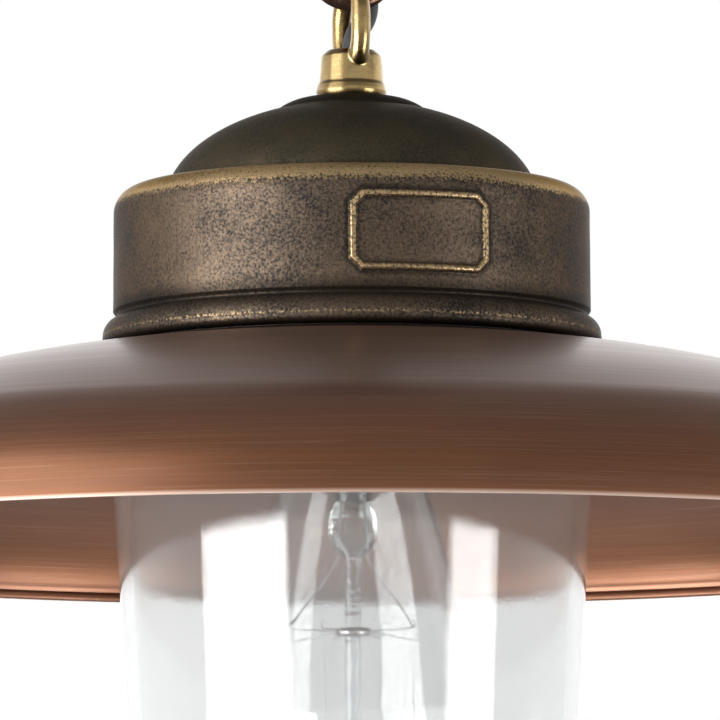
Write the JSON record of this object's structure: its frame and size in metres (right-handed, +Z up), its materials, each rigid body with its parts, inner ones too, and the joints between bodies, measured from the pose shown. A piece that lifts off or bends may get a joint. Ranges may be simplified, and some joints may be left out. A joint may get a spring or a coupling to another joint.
{
  "type": "ship lantern",
  "caption": "Hanging ship lantern with a cast brass cap, a wide spun copper shade, a clear glass jar and a lamp, on a short chain below a ceiling rose.",
  "frame": {"origin": "middle of the ceiling plate's top face, where its two screws hold it", "axes": "+Z up, out of the ceiling face; -Y is the lantern's front, with the label frame to the right of the middle"},
  "size_m": [0.36, 0.36, 0.397],
  "materials": {
    "zinc_steel": "zinc plated, satin",
    "chain_bronze": "dark browned, semi-gloss with rubbed high spots",
    "aged_brass": "cast, mottled dark patina with worn golden edges",
    "dark_bronze": "dark matt patina with faint golden mottling",
    "polished_brass": "cast and polished, lightly tarnished",
    "shade_copper": "spun copper, browned, satin with fine turning lines",
    "black_rubber": "matt",
    "cable_sheath": "satin",
    "white_plastic": "moulded",
    "brown_wire": "insulated core",
    "blue_wire": "insulated core",
    "green_wire": "insulated core, green and yellow",
    "white_sleeve": "braided heat sleeve",
    "porcelain": "glazed white",
    "contact_brass": "bright stamped",
    "jar_glass": "clear, pressed",
    "bulb_glass": "clear, blown",
    "stem_glass": "clear",
    "bulb_cap_metal": "thin rolled shell",
    "black_ceramic": "vitreous black",
    "solder": "dull solder",
    "bulb_wire": "drawn wire"
  },
  "bodies": {
    "ceiling_mount": {"ceiling_plate": "zinc_steel", "plate_nut": "zinc_steel", "ceiling_hook": "chain_bronze", "ceiling_rose": "aged_brass", "rose_nut": "polished_brass", "cable_bush": "black_rubber", "rose_terminal_block": "white_plastic", "rose_terminal_screws": "zinc_steel", "cable_4": "cable_sheath"},
    "upper_link": {"chain_link_3": "chain_bronze", "cable_3": "cable_sheath"},
    "middle_link": {"chain_link_2": "chain_bronze", "cable_2": "cable_sheath"},
    "lower_link": {"chain_link_1": "chain_bronze"},
    "lamp_head": {"suspension_loop": "polished_brass", "nipple": "zinc_steel", "nipple_washer": "zinc_steel", "nipple_nut": "zinc_steel", "boss_disc": "dark_bronze", "dome": "dark_bronze", "cap": "aged_brass", "gear_plate": "zinc_steel", "gear_plate_screws": "zinc_steel", "holder_strap": "zinc_steel", "strap_screws": "zinc_steel", "holder_screws": "zinc_steel", "lampholder_body": "porcelain", "lampholder_shell": "contact_brass", "lampholder_contact": "contact_brass", "terminal_block": "white_plastic", "terminal_screws": "contact_brass", "live_wire": "brown_wire", "neutral_wire": "blue_wire", "earth_wire": "green_wire", "earth_tag": "contact_brass", "earth_screw": "zinc_steel", "lamp_leads": "white_sleeve", "shade_gasket": "black_rubber", "shade": "shade_copper", "gallery_ring": "aged_brass", "gallery_screws": "polished_brass", "cable_1": "cable_sheath"},
    "glass": {"glass_jar": "jar_glass", "glass_gasket": "black_rubber"},
    "ring": {"retaining_ring": "aged_brass"},
    "bulb": {"bulb_envelope": "bulb_glass", "bulb_base": "bulb_cap_metal", "bulb_insulator": "black_ceramic", "bulb_tip": "solder", "bulb_stem": "stem_glass", "bulb_supports": "bulb_wire", "bulb_lead_wires": "bulb_wire", "bulb_filament": "bulb_wire"}
  },
  "joints": [
    {"name": "upper_link_swing", "type": "hinge", "parent": "ceiling_mount", "child": "upper_link", "pos_m": [0, 0, -0.05405], "axis": [-0.2639, 0.9646, 0], "range_deg": [-20, 20], "deforming": ["cable_4"]},
    {"name": "middle_link_swing", "type": "hinge", "parent": "upper_link", "child": "middle_link", "pos_m": [0, 0, -0.08285], "axis": [0.9646, 0.2639, 0], "range_deg": [-20, 20], "deforming": ["cable_3"]},
    {"name": "lower_link_swing", "type": "hinge", "parent": "middle_link", "child": "lower_link", "pos_m": [0, 0, -0.11235], "axis": [-0.2639, 0.9646, 0], "range_deg": [-20, 20], "deforming": ["cable_2"]},
    {"name": "lamp_swing", "type": "hinge", "parent": "lower_link", "child": "lamp_head", "pos_m": [0, 0, -0.14185], "axis": [0.9646, 0.2639, 0], "range_deg": [-20, 20], "deforming": ["cable_1"]},
    {"name": "glass_drop", "type": "slide", "parent": "lamp_head", "child": "glass", "axis": [0, 0, -1], "range_m": [0, 0.009]},
    {"name": "ring_turn", "type": "hinge", "parent": "glass", "child": "ring", "pos_m": [0, 0, -0.245], "axis": [0, 0, -1], "range_deg": [0, 1080]},
    {"name": "bulb_out", "type": "slide", "parent": "lamp_head", "child": "bulb", "axis": [0, 0, -1], "range_m": [0, 0.022]}
  ],
  "couplings": [
    {"joint": "glass_drop", "follows": "ring_turn", "m_per_rad": 0.00047746}
  ]
}
